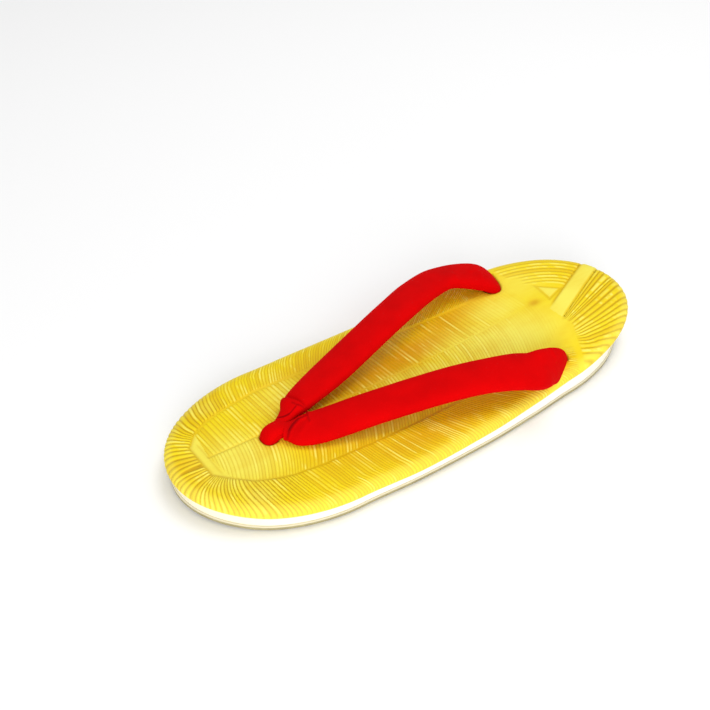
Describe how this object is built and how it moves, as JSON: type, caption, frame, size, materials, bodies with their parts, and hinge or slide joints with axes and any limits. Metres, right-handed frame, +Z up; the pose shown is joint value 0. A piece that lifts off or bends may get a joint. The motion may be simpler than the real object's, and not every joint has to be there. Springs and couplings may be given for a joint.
{
  "type": "zori sandal",
  "caption": "Flat thonged sandal for either foot: yellow moulded foam footbed on a low white foam wedge with a thin tread and padded red cloth straps.",
  "frame": {"origin": "on the floor under the middle of the sole", "axes": "+Z up, -Y to the toe, +Y to the heel, +X to the side that the picture shows"},
  "size_m": [0.0982, 0.2438, 0.0285],
  "materials": {
    "tread": "matt tan grey sheet",
    "wedge_foam": "off-white closed-cell foam, smooth cut wall",
    "footbed_foam": "golden yellow foam with a moulded ribbed relief, satin",
    "strap_cloth": "red fine-pile cloth over soft padding"
  },
  "bodies": {
    "root": {"outsole": "tread", "midsole": "wedge_foam", "top_sheet": "footbed_foam", "straps": "strap_cloth", "toe_thong": "strap_cloth"}
  },
  "joints": []
}
